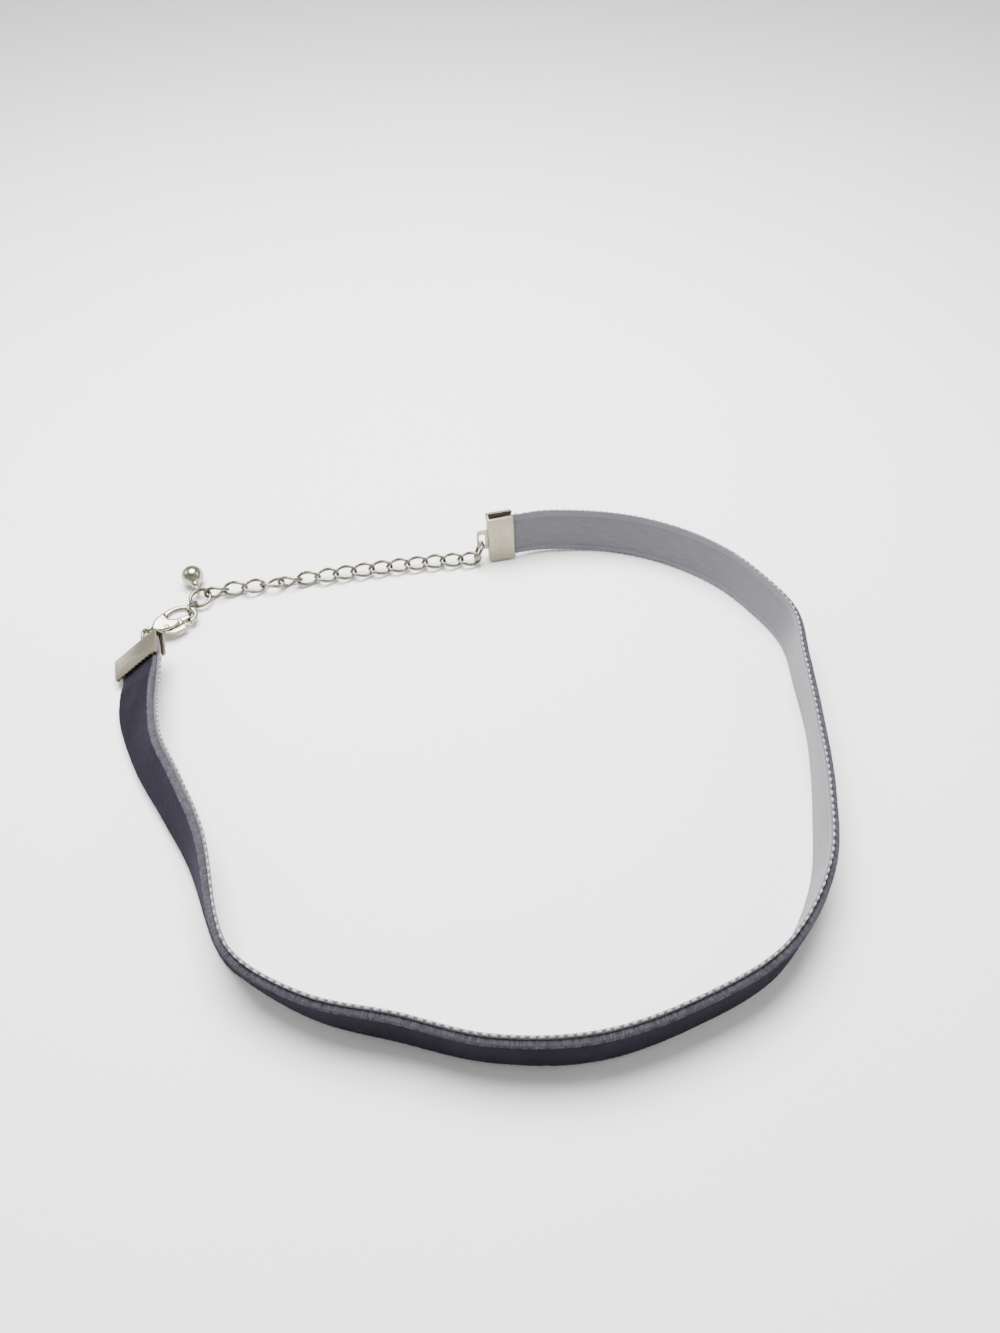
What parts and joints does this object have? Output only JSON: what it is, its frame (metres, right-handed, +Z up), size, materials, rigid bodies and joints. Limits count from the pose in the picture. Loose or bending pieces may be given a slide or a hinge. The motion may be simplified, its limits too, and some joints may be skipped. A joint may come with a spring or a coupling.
{
  "type": "velvet choker necklace",
  "caption": "Velvet ribbon choker lying closed in a loop, with folded end clamps, an extender chain caught by a lobster clasp, and a ball drop at the chain's end.",
  "frame": {"origin": "On the table under the middle of the bounding box of the closed choker.", "axes": "+Z up; +X runs across the loop from the clasp end to the plain side; +Y points from the front of the loop to the chain at the back."},
  "size_m": [0.117, 0.0984, 0.0108],
  "materials": {
    "velvet": "dark purple-grey velvet pile on one face, smooth woven grey backing on the other",
    "clamp_metal": "smooth nickel-coloured plate, slightly dulled",
    "ring_metal": "bright nickel-coloured plated wire",
    "clasp_metal": "polished nickel-coloured casting with rounded edges",
    "ball_metal": "polished nickel-coloured ball"
  },
  "bodies": {
    "choker": {"velvet_ribbon": "velvet", "clasp_end_clamp": "clamp_metal", "chain_end_clamp": "clamp_metal", "chain_jump_ring": "ring_metal", "clasp_jump_ring": "ring_metal", "clasp_body": "clasp_metal", "chain_link_01": "ring_metal", "chain_link_02": "ring_metal", "chain_link_03": "ring_metal", "chain_link_04": "ring_metal", "chain_link_05": "ring_metal", "chain_link_06": "ring_metal", "chain_link_07": "ring_metal", "chain_link_08": "ring_metal", "chain_link_09": "ring_metal", "chain_link_10": "ring_metal", "chain_link_11": "ring_metal", "chain_link_12": "ring_metal", "chain_link_13": "ring_metal", "chain_link_14": "ring_metal", "chain_link_15": "ring_metal", "chain_link_16": "ring_metal", "end_ring": "ring_metal", "ball_drop": "ball_metal"},
    "lever": {"clasp_lever": "clasp_metal"}
  },
  "joints": [
    {"name": "clasp_lever_pivot", "type": "hinge", "parent": "choker", "child": "lever", "pos_m": [-0.05097, 0.02558, 0.00214], "axis": [0.2355, -0.0857, 0.9681], "range_deg": [0, 10], "stiffness_Nm_per_rad": 0.01, "springref_deg": -28.65}
  ]
}
